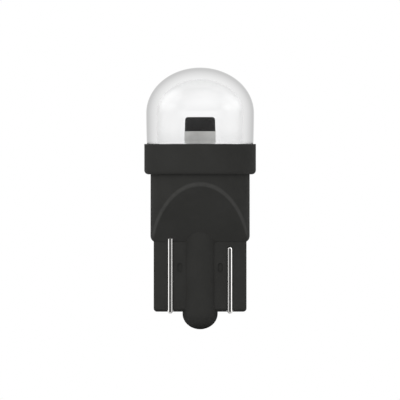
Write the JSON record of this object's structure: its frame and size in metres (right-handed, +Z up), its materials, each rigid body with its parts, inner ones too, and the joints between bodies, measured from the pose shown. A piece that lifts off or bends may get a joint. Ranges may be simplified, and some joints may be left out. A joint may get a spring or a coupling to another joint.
{
  "type": "wedge base led bulb",
  "caption": "Upright LED lamp with a flat wedge base, two bent contact wires, a black collar and a clear dome over a capped light source on a post.",
  "frame": {"origin": "middle of the wedge's lower edge, on the bulb's axis", "axes": "+Z up the bulb's axis to the dome, +X across the wedge's width, front towards -Y"},
  "size_m": [0.0114, 0.0114, 0.0268],
  "materials": {
    "black_moulding": "satin",
    "clear_dome": "polished",
    "satin_aluminium": "satin",
    "white_board": "satin",
    "chip_ceramic": "matte",
    "phosphor": "matte",
    "black_cap": "matte",
    "tinned_copper": "satin",
    "white_sleeve": "satin",
    "green_board": "satin",
    "component_black": "matte",
    "capacitor_ceramic": "satin",
    "solder": "satin",
    "contact_metal": "gloss"
  },
  "bodies": {
    "root": {"base_housing": "black_moulding", "dome_lens": "clear_dome", "heat_post": "satin_aluminium", "led_board": "white_board", "led_chip": "chip_ceramic", "led_phosphor": "phosphor", "led_cap": "black_cap", "led_lead_front": "tinned_copper", "led_lead_rear": "tinned_copper", "lead_sleeve_front": "white_sleeve", "lead_sleeve_rear": "white_sleeve", "driver_board": "green_board", "bridge_rectifier": "component_black", "rectifier_pins": "tinned_copper", "current_regulator": "component_black", "regulator_pins": "tinned_copper", "surge_diode": "component_black", "diode_pins": "tinned_copper", "smoothing_capacitor": "capacitor_ceramic", "resistor_1": "component_black", "resistor_2": "component_black", "resistor_3": "component_black", "resistor_4": "component_black", "wire_solder": "solder", "lead_solder": "solder", "led_solder": "solder", "contact_wire_left": "contact_metal", "contact_wire_right": "contact_metal"}
  },
  "joints": []
}
